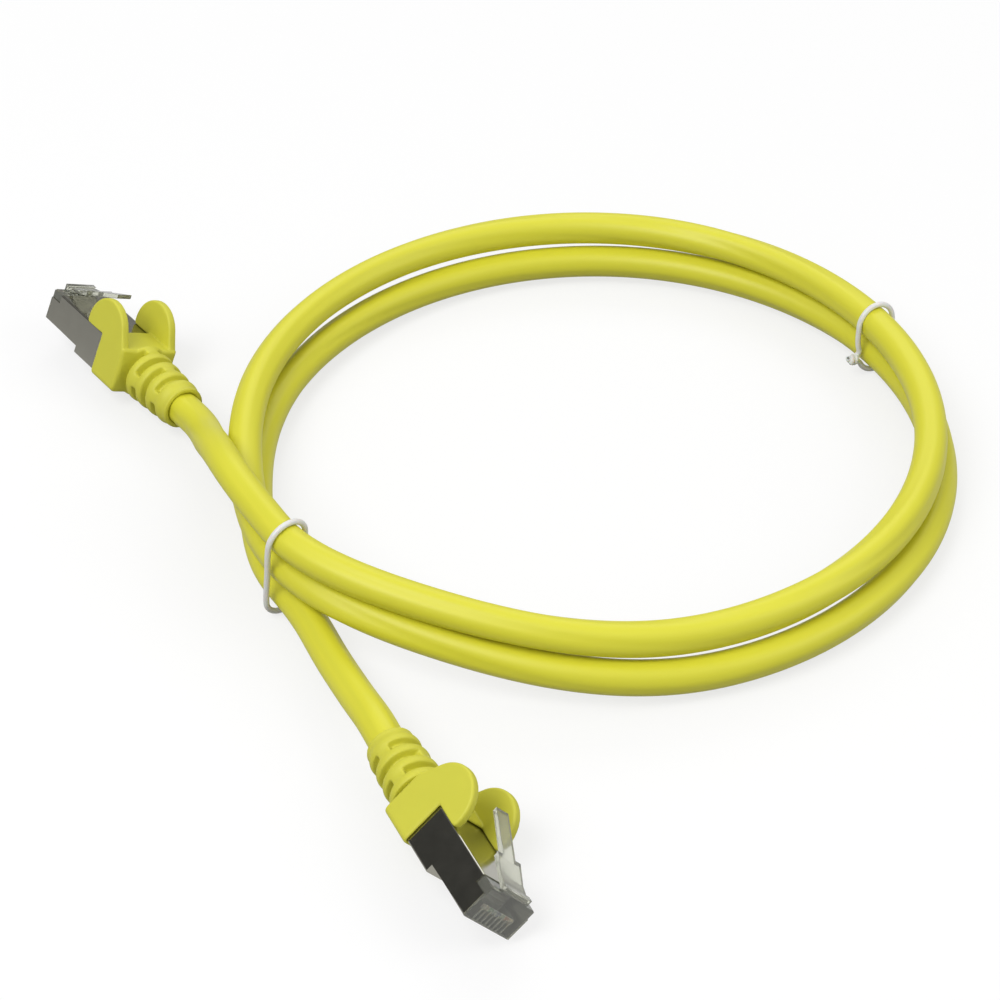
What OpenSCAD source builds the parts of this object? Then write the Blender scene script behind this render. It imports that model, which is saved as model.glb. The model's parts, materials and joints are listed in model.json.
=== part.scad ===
// Shielded ethernet patch cable: two booted eight-contact plugs on one round cable,
// wound in two loose turns that two wire ties hold together.
// Each plug is drawn in its own frame: the origin is on the cable's axis at the boot's
// tail, +X runs to the plug's nose and +Z is the latch side.

/* [Cable] */
// Outside diameter of the cable's jacket
cable_d = 6.5; // [5.4:0.1:6.8]
// Number of sides of the jacket's tube
cable_sides = 10; // [8:1:12]

/* [Coil] */
// Mean radius of the turns
coil_r = 66; // [55:1:80]
// How far the turns are from round
coil_oval = 1; // [0:0.1:2]
// How far the turns bulge outwards at the first tie
coil_bulge = 5.3; // [3:0.1:7]
// How far each turn's centre lies from the middle of the coil
turn_shift = 1.6; // [0:0.1:2.5]
// Space left between stacked strands
strand_gap = 0.15; // [0.05:0.05:0.3]

/* [Plug] */
// Width over the metal shield
plug_w = 11.68; // [10.5:0.01:14.1]
// Height over the shield at the nose
nose_h = 6.6; // [6.2:0.1:8]
// Step down from the nose section to the taller rear section
rear_step = 1.5; // [1:0.1:2]
// Length of the taller rear section that the boot leaves in view
rear_show = 7.6; // [6:0.1:10]
// Length of the nose section
nose_l = 12.4; // [11.5:0.1:15]
// Length of the clear housing
housing_l = 21.5; // [20:0.1:25]
// Thickness of the shield's sheet metal
shield_t = 0.25; // [0.2:0.05:0.3]
// How far the nose stands out of the shield
nose_lip = 0.4; // [0.3:0.1:0.8]
// Length of the corner cut from the shield's side walls beside the latch root
corner_l = 3.2; // [2.8:0.1:4]
// Height of that corner
corner_h = 1.8; // [1:0.1:2.4]

/* [Contacts] */
// Distance between neighbouring contacts
contact_pitch = 1.02; // [1:0.01:1.06]
// Thickness of a contact blade
contact_t = 0.35; // [0.25:0.05:0.4]
// Length of a contact blade
contact_l = 5.2; // [4:0.1:6]
// Diameter of an insulated conductor
conductor_d = 0.98; // [0.8:0.02:1]

/* [Latch] */
// Width of the latch from its root to its shoulders
latch_w = 6; // [5:0.1:6.5]
// Width of the latch's finger lever
lever_w = 3.25; // [2.8:0.05:4]
// Distance from the nose back to the shoulders
shoulder_l = 7; // [6:0.1:8]
// Distance from the nose back to the lever's tip
latch_l = 15.2; // [13:0.1:16]
// Height of the lever's tip above the shield
latch_rise = 6.4; // [5:0.1:7]

/* [Boot] */
// Length of the strain relief
relief_l = 15; // [12:0.5:20]
// Length of the block that grips the plug
block_l = 8.5; // [8:0.1:12]
// Wall of the block round the shield
block_wall = 0.65; // [0.5:0.05:1]
// Radius of the relief at its tail
tail_r = 4.4; // [4.2:0.1:5]
// Radius of the relief where it meets the block
root_r = 5.3; // [4.7:0.1:5.5]
// Width of a slot round the relief
slot_w = 1.3; // [1:0.1:1.6]
// Distance from slot to slot
slot_pitch = 3.35; // [3:0.05:3.6]
// Radius of the ears beside the latch
ear_r = 6.2; // [5:0.1:7]
// Thickness of an ear
ear_t = 1.7; // [1.2:0.1:2]

/* [Ties] */
// Diameter of a tie's plastic coat
tie_d = 1.1; // [0.9:0.05:1.5]
// Diameter of the wire in it
tie_wire_d = 0.45; // [0.35:0.05:0.6]
// Length of a tie's twisted ends
tie_end_l = 2.4; // [2:0.1:6]
// Room between a tie and the sides of the strands in it
tie_slack = 0.55; // [0.45:0.05:0.8]

/* [Hidden] */
$fn = 48;
PLUGS = ["a", "b"];
CONTACTS = [1:8];

// Clearances
fit_gap = 0.05;      // between pieces that are pressed or slid together
boot_gap = 0.1;      // between the cable and the boot's bore
slot_gap = 0.05;     // beside a contact in its slot
eps = 0.01;          // how far a cut runs past the face it opens
chord_sag = 0.2;     // how far the jacket's straight lengths cut inside the turns' curve

// Places along a plug, from the boot's tail
boot_l = relief_l + block_l;
step_x = boot_l + rear_show;
nose_x = step_x + nose_l;
housing_x = nose_x - housing_l;
jacket_x = housing_x - 1.5;
crimp_x = relief_l + 1.5;
shield_nose_x = nose_x - nose_lip;

// Heights in a plug: the cable's axis is the middle of the rear section
rear_h = nose_h + rear_step;
top_z = rear_h / 2;
rear_z = -top_z;
nose_z = top_z - nose_h;
body_w = plug_w - 2 * shield_t - 2 * fit_gap;
cable_r = cable_d / 2;

// Boot
block_w = plug_w + 2 * block_wall;
block_h = rear_h + 2 * block_wall;
block_round = 1;
tail_round = 0.4;
socket_l = 2;
ear_z = top_z + 1.2;
ear_x = boot_l - 0.5;
bridge_angle = 36;

// Conductors, contacts and load bar
row_z = 0.25;
nose_wall = 0.9;
channel_x = nose_x - nose_wall;
blade_x = channel_x - contact_l;
blade_z = nose_z + 0.6;
foot_z = row_z - conductor_d / 2 - 0.02;
spike_w = 0.8;
spike_gap = 0.03;
row_w = 8 * contact_pitch;
bar_w = row_w + 0.8;
bar_h = 2.8;
bar_l = 4.5;
bar_x = step_x - 2.8;
flat_x = bar_x - 1.2;
fan_x = flat_x - 2.6;
pair_pitch = 1.1;
pair_z = 0.53;

// Housing
wall = shield_t + fit_gap;
chamber_w = bar_w + 0.3;
chamber_h = 5.3;

// Crimped braid and the shield's collar and straps round it
braid_t = 0.3;
ring_r = cable_r + braid_t + fit_gap;
collar_l = 3;
strap_x = crimp_x + 0.8;
strap_h = 1.4;
tab_x = housing_x - 0.5;

// Latch: its hinge, and its side outline as lengths from the nose and heights above the shield
hinge_r = 0.5;
hinge_x = nose_x - 1.1;
hinge_z = top_z + 0.45;
bed_h = 1.15;
bed_edge = 0.3;
knee_l = 3.2;
knee_h = 1.4;
shoulder_h = 3.1;
shoulder_t = 1.1;
lever_t = 0.9;

// How the plugs lie: roll, lift and heading, resting on an edge of the boot's block
PLUG_XY = [[-54.5, 50.5], [-11.5, -47.5]];
PLUG_TURN = [[24, 0, 126], [-49, 0, -65.5]];

function turned(v, t) =
    let (a = [v.x, v.y * cos(t.x) - v.z * sin(t.x), v.y * sin(t.x) + v.z * cos(t.x)],
         b = [a.x * cos(t.y) + a.z * sin(t.y), a.y, a.z * cos(t.y) - a.x * sin(t.y)])
    [b.x * cos(t.z) - b.y * sin(t.z), b.x * sin(t.z) + b.y * cos(t.z), b.z];

function rest_height(t) =
    block_w / 2 * abs(sin(t.x)) + block_h / 2 * cos(t.x) - block_round * (abs(sin(t.x)) + cos(t.x) - 1);

function plug_place(p) = concat(PLUG_XY[p], rest_height(PLUG_TURN[p]));
function plug_point(p, v) = plug_place(p) + turned(v, PLUG_TURN[p]);

// The coil: phi is the angle run since the first tie, up to two full turns
TIE1_AT = [-29.9, -5.5];
tie1_angle = 220;
tie2_angle = 31;
TIE_STRANDS = [3, 2];
tie_end_share = 0.92;
tie_end_pitch = 0.8 * tie_d;
bulge_spread = 22;
shift_angle = 130;
oval_angle = 75;
drop_angle = 70;
swap_angle = 108;
last_phi = 712;
coil_rings = 58;
strand_pitch = cable_d + strand_gap;
low_z = tie_d + fit_gap + cable_r;

function smooth(x) = let (c = min(max(x, 0), 1)) c * c * (3 - 2 * c);
function level(phi) = 2 - smooth(phi / drop_angle) - smooth((phi - 360) / drop_angle);
function side(phi) = 1 - 2 * smooth((phi - 360) / swap_angle + 0.5);
function from_tie(phi) = abs((phi + 180) % 360 - 180);
function turn_r(phi) =
    coil_r + coil_oval * cos(2 * (tie1_angle + phi - oval_angle))
    + coil_bulge * exp(-pow(from_tie(phi) / bulge_spread, 2));
coil_mid = TIE1_AT - turn_r(0) * [cos(tie1_angle), sin(tie1_angle)];
function coil_point(phi) =
    let (a = tie1_angle + phi, r = turn_r(phi), s = turn_shift * side(phi))
    [coil_mid.x + r * cos(a) + s * cos(shift_angle),
     coil_mid.y + r * sin(a) + s * sin(shift_angle),
     low_z + strand_pitch * level(phi)];

// The cable's two ends, on the way from plug a to the coil and from the coil to plug b
END_A = [
    [-51.4, 45.5, 7.2], [-49.2, 39.5, 8.9], [-47.8, 33.3, 11.8], [-45.7, 25.6, 15.4],
    [-42.7, 17, 17.6], [-38.7, 9, 17.7], [-34.5, 1.5, 17.7]];
END_B = [
    [-30.5, -4.2, 4.4], [-26.6, -11.6, 4.4], [-23.2, -19.8, 4.6], [-19.8, -27.9, 5.4],
    [-16.8, -35.2, 6.7], [-14, -41.8, 7.8]];
ROUTE = concat(
    [plug_point(0, [jacket_x, 0, 0]), plug_point(0, [0, 0, 0])],
    END_A,
    [for (i = [0:coil_rings]) coil_point(last_phi * i / coil_rings)],
    END_B,
    [plug_point(1, [0, 0, 0]), plug_point(1, [jacket_x, 0, 0])]);

// ---- Cable ----

function unit(v) = v / norm(v);

// Rings of points round a route, each ring square to the route there
function ring_points(route, r, sides) = [
    for (i = [0:len(route) - 1])
        let (ahead = route[min(i + 1, len(route) - 1)],
             behind = route[max(i - 1, 0)],
             along = unit(ahead - behind),
             across = unit(cross([0, 0, 1], along)),
             up = cross(along, across))
        for (k = [0:sides - 1])
            route[i] + r * (cos(360 * k / sides) * across + sin(360 * k / sides) * up)];

function ring_faces(rings, sides) = concat(
    [for (i = [0:rings - 2], k = [0:sides - 1])
        let (n = (k + 1) % sides)
        [(i + 1) * sides + k, (i + 1) * sides + n, i * sides + n, i * sides + k]],
    [[for (k = [0:sides - 1]) k]],
    [[for (k = [1:sides]) rings * sides - k]]);

module cable_jacket() {
    color("gold")
    polyhedron(
        points = ring_points(ROUTE, cable_r, cable_sides),
        faces = ring_faces(len(ROUTE), cable_sides),
        convexity = 10);
}

// ---- Ties ----

// A tie of n strands stands in the XZ plane, with its ends towards -X. d is the section's
// diameter, and a bore for the wire is the same shape with its ends run out by extra.
module tie_shape(strands, d, extra) {
    loop_r = cable_r + tie_slack + tie_d / 2;
    low = loop_r + tie_d / 2;
    high = low_z + strand_pitch * (strands - 1) + cable_r + fit_gap + tie_d / 2 - loop_r;
    for (z = [low, high])
        translate([0, 0, z])
            rotate([z == low ? -90 : 90, 0, 0])
                rotate_extrude(angle = 180)
                    translate([loop_r, 0])
                        circle(d = d);
    for (x = [-loop_r, loop_r])
        translate([x, 0, low])
            cylinder(h = high - low, d = d);
    for (z = [low + tie_d, low + tie_d + tie_end_pitch])
        translate([-loop_r, 0, z])
            rotate([0, -90, 0])
                cylinder(h = tie_d / 2 + tie_end_l + extra, d = tie_end_share * d);
}

module at_tie(n) {
    angle = n == 1 ? tie1_angle : tie2_angle;
    radius = turn_r(angle - tie1_angle) - chord_sag;
    translate([coil_mid.x + radius * cos(angle), coil_mid.y + radius * sin(angle), 0])
        rotate([0, 0, angle])
            children();
}

module tie_coat(n) {
    color("white")
    at_tie(n)
    difference() {
        tie_shape(TIE_STRANDS[n - 1], tie_d, 0);
        tie_shape(TIE_STRANDS[n - 1], tie_wire_d + fit_gap, eps);
    }
}

module tie_wire(n) {
    color("silver")
    at_tie(n)
        tie_shape(TIE_STRANDS[n - 1], tie_wire_d, 0);
}

// ---- Plug ----

module at_plug(p) {
    translate(plug_place(p))
        rotate(PLUG_TURN[p])
            children();
}

// A box from x0 to x1 and z0 to z1, w wide about the plug's middle plane
module span(x0, x1, w, z0, z1) {
    translate([x0, -w / 2, z0])
        cube([x1 - x0, w, z1 - z0]);
}

// A tube along X
module sleeve(length, outer_r, inner_r) {
    rotate([0, 90, 0])
        difference() {
            cylinder(h = length, r = outer_r);
            translate([0, 0, -eps])
                cylinder(h = length + 2 * eps, r = inner_r);
        }
}

function contact_y(i) = (4.5 - i) * contact_pitch;
function spike_x(k) = blade_x + contact_l * (k + 0.5) / 3;

module housing(p) {
    color("gainsboro", 0.5)
    at_plug(p)
    difference() {
        union() {
            span(housing_x, step_x - wall, body_w, rear_z + wall, top_z - wall);
            span(step_x - wall - eps, nose_x, body_w, nose_z + wall, top_z - wall);
            // The nose's lip and its bare upper corner, outside the shield
            span(shield_nose_x + fit_gap, nose_x, plug_w - 0.1, nose_z + fit_gap, top_z - corner_h - 0.1);
            span(nose_x - corner_l + fit_gap, nose_x, plug_w - 1.2, top_z - wall, top_z - 0.15);
            span(hinge_x, nose_x, latch_w + 2 * bed_edge, top_z - wall, top_z + bed_h);
        }
        // The bed of the latch's root
        translate([hinge_x, 0, hinge_z])
            rotate([90, 0, 0])
                cylinder(h = latch_w + 2, r = hinge_r + fit_gap, center = true);
        // The rear chamber, where the conductors fan out to the load bar
        span(housing_x - eps, bar_x + bar_l + 0.1, chamber_w, -chamber_h / 2, chamber_h / 2);
        // The channel for the flat row of conductors
        span(bar_x, channel_x, row_w + 0.1, row_z - conductor_d / 2 - 0.05, row_z + conductor_d / 2 + 0.05);
        // The contact slots
        for (i = CONTACTS)
            translate([blade_x - 0.3, contact_y(i) - contact_t / 2 - slot_gap, nose_z - 1])
                cube([contact_l + 0.6, contact_t + 2 * slot_gap, row_z - nose_z + 1]);
    }
}

// A flat shape in the XZ plane, t thick about contact i's middle
module upright(i, t) {
    translate([0, contact_y(i) + t / 2, 0])
        rotate([90, 0, 0])
            linear_extrude(t)
                children();
}

// The three points that pierce a conductor, or the holes they make when grown by gap
module spikes(gap) {
    for (k = [0:2])
        translate([spike_x(k), 0])
            polygon([
                [-spike_w / 2 - gap, foot_z - gap], [spike_w / 2 + gap, foot_z - gap],
                [0, row_z + 0.1 + gap]]);
}

module contact(p, i) {
    heel = 0.5;
    toe = 0.9;
    blade_end = blade_x + contact_l;
    color("goldenrod")
    at_plug(p)
    upright(i, contact_t)
        union() {
            polygon([
                [blade_x, blade_z + heel], [blade_x + heel, blade_z], [blade_end - toe, blade_z],
                [blade_end, blade_z + toe], [blade_end, foot_z], [blade_x, foot_z]]);
            spikes(0);
        }
}

// A straight length of conductor from one point to another
module run(from, to) {
    v = to - from;
    translate(from)
        rotate([0, acos(v.z / norm(v)), atan2(v.y, v.x)])
            cylinder(h = norm(v), d = conductor_d, $fn = 24);
}

// A bend between two straight lengths, a hair fuller than they are
module knuckle(at) {
    translate(at)
        sphere(d = conductor_d + 0.04, $fn = 24);
}

CONDUCTOR_COLOURS = [
    "moccasin", "darkorange", "honeydew", "royalblue", "lightblue", "seagreen", "linen", "saddlebrown"];

module conductor(p, i) {
    y = contact_y(i);
    row = i % 2 == 0 ? pair_z : -pair_z;
    pair_y = (1.5 - floor((i - 1) / 2)) * pair_pitch;
    start = [jacket_x + 0.3, pair_y, row];
    fanned = [fan_x, y, row];
    flat = [flat_x, y, row_z];
    color(CONDUCTOR_COLOURS[i - 1])
    at_plug(p)
    difference() {
        union() {
            run(start, fanned);
            knuckle(fanned);
            run(fanned, flat);
            knuckle(flat);
            run(flat, [channel_x - 0.1, y, row_z]);
        }
        upright(i, contact_t + 0.02)
            spikes(spike_gap);
    }
}

module load_bar(p) {
    color("whitesmoke")
    at_plug(p)
    difference() {
        span(bar_x, bar_x + bar_l, bar_w, row_z - bar_h / 2, row_z + bar_h / 2);
        for (i = CONTACTS)
            translate([bar_x - eps, contact_y(i), row_z])
                rotate([0, 90, 0])
                    cylinder(h = bar_l + 2 * eps, d = conductor_d + 0.02, $fn = 24);
    }
}

module braid(p) {
    color("darkgray")
    at_plug(p)
    translate([crimp_x, 0, 0])
        sleeve(jacket_x - crimp_x, cable_r + braid_t, cable_r + fit_gap);
}

module shield(p) {
    inner_w = plug_w - 2 * shield_t;
    color("lightslategray")
    at_plug(p)
    union() {
        difference() {
            union() {
                span(tab_x, step_x, plug_w, rear_z, top_z);
                span(step_x - eps, shield_nose_x, plug_w, nose_z, top_z);
            }
            span(tab_x - 1, step_x - shield_t, inner_w, rear_z + shield_t, top_z - shield_t);
            span(step_x - 1, nose_x, inner_w, nose_z + shield_t, top_z - shield_t);
            // The corner beside the latch's root
            span(nose_x - corner_l, nose_x, plug_w + 2, top_z - corner_h, top_z + 1);
            // The window under the contacts
            span(blade_x - 0.5, nose_x, inner_w, nose_z - 1, nose_z + 1);
        }
        // The straps back to the crimped collar, and the collar
        for (s = [-1, 1]) {
            translate([strap_x, s * (ring_r + shield_t / 2) - shield_t / 2, -strap_h / 2])
                cube([tab_x - strap_x, shield_t, strap_h]);
            translate([tab_x, s > 0 ? ring_r : -plug_w / 2, -strap_h / 2])
                cube([shield_t, plug_w / 2 - ring_r, strap_h]);
        }
        translate([crimp_x, 0, 0])
            sleeve(collar_l, ring_r + shield_t, ring_r);
    }
}

module boot(p) {
    bore_r = cable_r + boot_gap;
    collar_r = ring_r + shield_t + 2 * fit_gap;
    color("yellow")
    at_plug(p)
    difference() {
        union() {
            // The tapered relief
            rotate([0, 90, 0])
                rotate_extrude()
                    polygon([
                        [0, 0], [tail_r - tail_round, 0], [tail_r, tail_round],
                        [root_r, relief_l + 0.5], [0, relief_l + 0.5]]);
            // The block
            translate([relief_l, 0, 0])
                rotate([90, 0, 90])
                    linear_extrude(block_l)
                        rounded(block_w, block_h, block_round);
            for (s = [-1, 1])
                translate([0, s * (block_w / 2 - ear_t / 2) + ear_t / 2, 0])
                    rotate([90, 0, 0])
                        linear_extrude(ear_t)
                            ear_outline();
        }
        // The cable's bore, the chamber of the crimped collar and the shield's socket
        translate([-eps, 0, 0])
            rotate([0, 90, 0])
                cylinder(h = boot_l, r = bore_r);
        translate([crimp_x - 0.3, 0, 0])
            rotate([0, 90, 0])
                cylinder(h = boot_l, r = collar_r);
        span(boot_l - socket_l - 0.3, boot_l + 10, plug_w + 2 * fit_gap, rear_z - fit_gap, top_z + fit_gap);
        // The slots round the relief, each in two halves with bridges between them
        for (k = [0:3], half = [0, 180])
            translate([relief_l - slot_w - k * slot_pitch, 0, 0])
                rotate([0, 90, 0])
                    rotate([0, 0, half + (k % 2 == 0 ? 0 : 90) + bridge_angle / 2])
                        rotate_extrude(angle = 180 - bridge_angle)
                            translate([bore_r - 0.5, 0])
                                square([root_r, slot_w]);
    }
}

// A rectangle with round corners
module rounded(w, h, r) {
    square([w - 2 * r, h], center = true);
    square([w, h - 2 * r], center = true);
    for (x = [-1, 1], y = [-1, 1])
        translate([x * (w / 2 - r), y * (h / 2 - r)])
            circle(r = r);
}

// An ear seen from the side: a disc that runs down to the block's rear edge
module ear_outline() {
    foot = [relief_l + 0.4, top_z];
    reach = norm(foot - [ear_x, ear_z]);
    tangent = atan2(foot.y - ear_z, foot.x - ear_x) + 360 - acos(ear_r / reach);
    difference() {
        union() {
            translate([ear_x, ear_z])
                circle(r = ear_r);
            polygon([foot, [ear_x, ear_z] + ear_r * [cos(tangent), sin(tangent)], [ear_x, ear_z], [ear_x, top_z]]);
        }
        translate([0, top_z + fit_gap - 20])
            square([boot_l + 20, 20]);
    }
}

module latch(p) {
    side_outline = [
        [hinge_x, hinge_z - hinge_r], [hinge_x, hinge_z + hinge_r],
        [nose_x - knee_l, top_z + knee_h], [nose_x - shoulder_l, top_z + shoulder_h],
        [nose_x - latch_l, top_z + latch_rise], [nose_x - latch_l, top_z + latch_rise - lever_t],
        [nose_x - shoulder_l, top_z + shoulder_h - shoulder_t], [nose_x - knee_l - 0.2, top_z + knee_h - 0.65]];
    color("gainsboro", 0.6)
    at_plug(p)
    union() {
        intersection() {
            translate([0, latch_w / 2, 0])
                rotate([90, 0, 0])
                    linear_extrude(latch_w)
                        polygon(side_outline);
            // The latch from above: full width to the shoulders, then the lever
            union() {
                span(nose_x - shoulder_l, nose_x, latch_w, top_z - 1, top_z + 10);
                span(nose_x - latch_l, nose_x, lever_w, top_z - 1, top_z + 10);
            }
        }
        translate([hinge_x, 0, hinge_z])
            rotate([90, 0, 0])
                cylinder(h = latch_w, r = hinge_r, center = true);
    }
}

cable_jacket();
for (n = [1, 2]) {
    tie_coat(n);
    tie_wire(n);
}
for (p = [0, 1]) {
    housing(p);
    latch(p);
    shield(p);
    load_bar(p);
    braid(p);
    boot(p);
    for (i = CONTACTS) {
        contact(p, i);
        conductor(p, i);
    }
}
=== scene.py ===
"""Shielded ethernet patch cable: the jacket, boots, plugs, ties and their finishes.

Each plug has a frame of its own: its origin is on the cable's axis at the boot's tail,
+X runs to the nose, +Y is to the left and +Z is the latch side. Lengths are in metres.
"""

import json
import math

import bmesh
import bpy
import numpy as np
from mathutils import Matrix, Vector


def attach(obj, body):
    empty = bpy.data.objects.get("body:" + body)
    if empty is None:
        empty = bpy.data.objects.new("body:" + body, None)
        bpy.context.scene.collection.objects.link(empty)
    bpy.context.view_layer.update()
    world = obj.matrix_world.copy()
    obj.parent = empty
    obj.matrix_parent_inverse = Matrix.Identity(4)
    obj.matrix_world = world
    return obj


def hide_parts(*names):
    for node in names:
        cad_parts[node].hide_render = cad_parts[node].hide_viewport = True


bl_info = {
    "name": "Ethernet Patch Cable",
    "version": (1, 0, 0),
    "blender": (4, 5, 0),
    "location": "3D View > Sidebar > Patch Cable",
    "description": "Builds the looks of a shielded ethernet patch cable on its CAD frame",
    "category": "Object",
}

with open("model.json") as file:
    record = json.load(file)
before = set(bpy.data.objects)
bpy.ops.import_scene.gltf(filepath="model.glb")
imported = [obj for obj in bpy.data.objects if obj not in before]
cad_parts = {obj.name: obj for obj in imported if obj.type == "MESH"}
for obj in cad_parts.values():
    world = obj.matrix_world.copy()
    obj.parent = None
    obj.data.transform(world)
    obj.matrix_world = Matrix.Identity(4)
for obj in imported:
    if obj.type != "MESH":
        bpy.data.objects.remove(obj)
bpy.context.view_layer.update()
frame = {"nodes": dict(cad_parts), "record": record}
MM = 0.001
SIDES = ("a", "b")
WIRES = range(1, 9)


# ---- Sizes and colours that a user would change ----


def length(name, description, default):
    """A bpy length property."""
    return bpy.props.FloatProperty(
        name=name, description=description, default=default, unit="LENGTH", precision=5
    )


def colour(name, description, default):
    """A bpy string property for an sRGB hex colour."""
    return bpy.props.StringProperty(name=name, description=description, default=default)


class CableSizes(bpy.types.PropertyGroup):
    """Sizes of the cable and of its two turns."""

    diameter: length("Diameter", "Outside diameter of the jacket", 6.5 * MM)
    coil_radius: length("Coil radius", "Mean radius of the turns", 66 * MM)
    coil_oval: length("Coil oval", "How far the turns are from round", 1 * MM)
    coil_bulge: length("Coil bulge", "How far the turns bulge at the first tie", 5.3 * MM)
    turn_shift: length("Turn shift", "How far each turn's centre lies from the coil's middle", 1.6 * MM)
    strand_gap: length("Strand gap", "Space between stacked strands", 0.15 * MM)
    flat_depth: length("Flat depth", "Depth of the jacket's soft flats over the pairs", 0.3 * MM)
    lay_length: length("Lay length", "Length of one turn of the pairs under the jacket", 420 * MM)


class BootSizes(bpy.types.PropertyGroup):
    """Sizes of a boot."""

    relief_length: length("Relief length", "Length of the slotted strain relief", 15 * MM)
    block_length: length("Block length", "Length of the block that grips the plug", 8.5 * MM)
    block_wall: length("Block wall", "Wall of the block round the shield", 0.65 * MM)
    tail_radius: length("Tail radius", "Radius of the relief at its tail", 4.4 * MM)
    root_radius: length("Root radius", "Radius of the relief at the block", 5.3 * MM)
    slot_width: length("Slot width", "Width of a slot round the relief", 1.5 * MM)
    slot_pitch: length("Slot pitch", "Distance from slot to slot", 3.35 * MM)
    slot_floor: length("Slot floor", "Radius at the bottom of a slot", 3.42 * MM)
    ear_radius: length("Ear radius", "Radius of the ears beside the latch", 6.2 * MM)
    ear_thickness: length("Ear thickness", "Thickness of an ear", 1.7 * MM)
    grain: length("Mesh grain", "Size of the mesh that joins the boot's bodies", 0.16 * MM)


class PlugSizes(bpy.types.PropertyGroup):
    """Sizes of a plug that its boot and its edges need."""

    width: length("Width", "Width over the metal shield", 11.68 * MM)
    rear_height: length("Rear height", "Height over the shield's rear section", 8.1 * MM)
    nose_distance: length("Nose distance", "Distance from the boot's tail to the plug's nose", 43.5 * MM)
    jacket_end: length("Jacket end", "Distance from the boot's tail to the jacket's end", 20.5 * MM)
    fold_radius: length("Fold radius", "Radius of the bends in the shield's sheet", 0.3 * MM)
    mould_radius: length("Mould radius", "Radius on the edges of the clear mouldings", 0.1 * MM)


class TieSizes(bpy.types.PropertyGroup):
    """Sizes of a wire tie."""

    diameter: length("Diameter", "Diameter of the plastic coat", 1.1 * MM)
    wire_diameter: length("Wire diameter", "Diameter of the wire in it", 0.45 * MM)
    twist_length: length("Twist length", "Length of the twisted ends", 1.7 * MM)
    slack: length("Slack", "Room between the tie and the sides of the strands", 0.3 * MM)


class Colours(bpy.types.PropertyGroup):
    """sRGB colours of the finishes."""

    jacket: colour("Jacket", "Yellow of the cable's jacket", "#DEDA38")
    boot: colour("Boot", "Yellow of the boots", "#D3D040")
    tie: colour("Tie", "White of the ties' coat", "#E9E9E6")
    nickel: colour("Nickel", "Grey of the plated shield", "#B7B5A9")
    gold: colour("Gold", "Gold of the contacts", "#E0B65A")


# ---- Mesh and material tools ----


def settings():
    """The scene's property groups, which hold every size and colour."""
    return bpy.context.scene


def mesh_object(name, points, quads):
    """A closed mesh object from arrays of points and of four-cornered faces."""
    points = np.asarray(points, float).reshape(-1, 3)
    quads = np.asarray(quads, np.int32).reshape(-1, 4)
    mesh = bpy.data.meshes.new(name)
    mesh.vertices.add(len(points))
    mesh.vertices.foreach_set("co", points.ravel())
    mesh.loops.add(quads.size)
    mesh.loops.foreach_set("vertex_index", quads.ravel())
    mesh.polygons.add(len(quads))
    mesh.polygons.foreach_set("loop_start", np.arange(0, quads.size, 4, dtype=np.int32))
    mesh.polygons.foreach_set("use_smooth", np.ones(len(quads), bool))
    mesh.update(calc_edges=True)
    mesh.validate()
    piece = bpy.data.objects.new(name, mesh)
    bpy.context.scene.collection.objects.link(piece)
    return piece


def grid_quads(rows, columns, closed_rows, start=0):
    """Faces between the rows of a grid whose columns run round and close. Rows close if closed_rows."""
    row = np.arange(rows if closed_rows else rows - 1)[:, None]
    column = np.arange(columns)[None, :]
    next_row = (row + 1) % rows
    next_column = (column + 1) % columns
    corners = (
        row * columns + column,
        row * columns + next_column,
        next_row * columns + next_column,
        next_row * columns + column,
    )
    return start + np.stack(np.broadcast_arrays(*corners), axis=-1).reshape(-1, 4)


def capped(rings):
    """Rings of points plus a point at each end, the middle of the last ring there, which closes the tube."""
    return np.concatenate(
        [
            np.broadcast_to(rings[:1].mean(axis=1, keepdims=True), rings[:1].shape),
            rings,
            np.broadcast_to(rings[-1:].mean(axis=1, keepdims=True), rings[-1:].shape),
        ]
    )


def join_grids(name, grids):
    """One mesh object from several grids, each a pair of its rings of points and whether its rows close."""
    points, quads, start = [], [], 0
    for rings, closed_rows in grids:
        rows, columns = rings.shape[:2]
        points.append(rings.reshape(-1, 3))
        quads.append(grid_quads(rows, columns, closed_rows, start))
        start += rows * columns
    return mesh_object(name, np.concatenate(points), np.concatenate(quads))


def merge_poles(piece):
    """Merges the points that lie on each other at a tube's ends, so that the mesh closes there."""
    work = bmesh.new()
    work.from_mesh(piece.data)
    bmesh.ops.remove_doubles(work, verts=work.verts, dist=1e-7)
    work.to_mesh(piece.data)
    work.free()


def bake(piece):
    """Applies the piece's modifiers to its mesh."""
    mesh = bpy.data.meshes.new_from_object(piece.evaluated_get(bpy.context.evaluated_depsgraph_get()))
    piece.modifiers.clear()
    piece.data = mesh


def linear(code):
    """An sRGB hex colour as linear red, green, blue and full alpha."""
    channels = [int(code.lstrip("#")[i : i + 2], 16) / 255 for i in (0, 2, 4)]
    return [c / 12.92 if c <= 0.04045 else ((c + 0.055) / 1.055) ** 2.4 for c in channels] + [1.0]


def add_node(tree, kind, values=None, links=None, **attributes):
    """Adds a shader node, sets its attributes and its sockets' values, and links other nodes' outputs in."""
    node = tree.nodes.new(kind)
    for key, value in attributes.items():
        setattr(node, key, value)
    for socket, value in (values or {}).items():
        node.inputs[socket].default_value = value
    for socket, output in (links or {}).items():
        tree.links.new(output, node.inputs[socket])
    return node


def object_noise(tree, scale, detail):
    """Noise in the piece's own coordinates: scale is how many grains there are to a metre."""
    coords = add_node(tree, "ShaderNodeTexCoord")
    return add_node(
        tree, "ShaderNodeTexNoise", {"Scale": scale, "Detail": detail}, {"Vector": coords.outputs["Object"]}
    )


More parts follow.
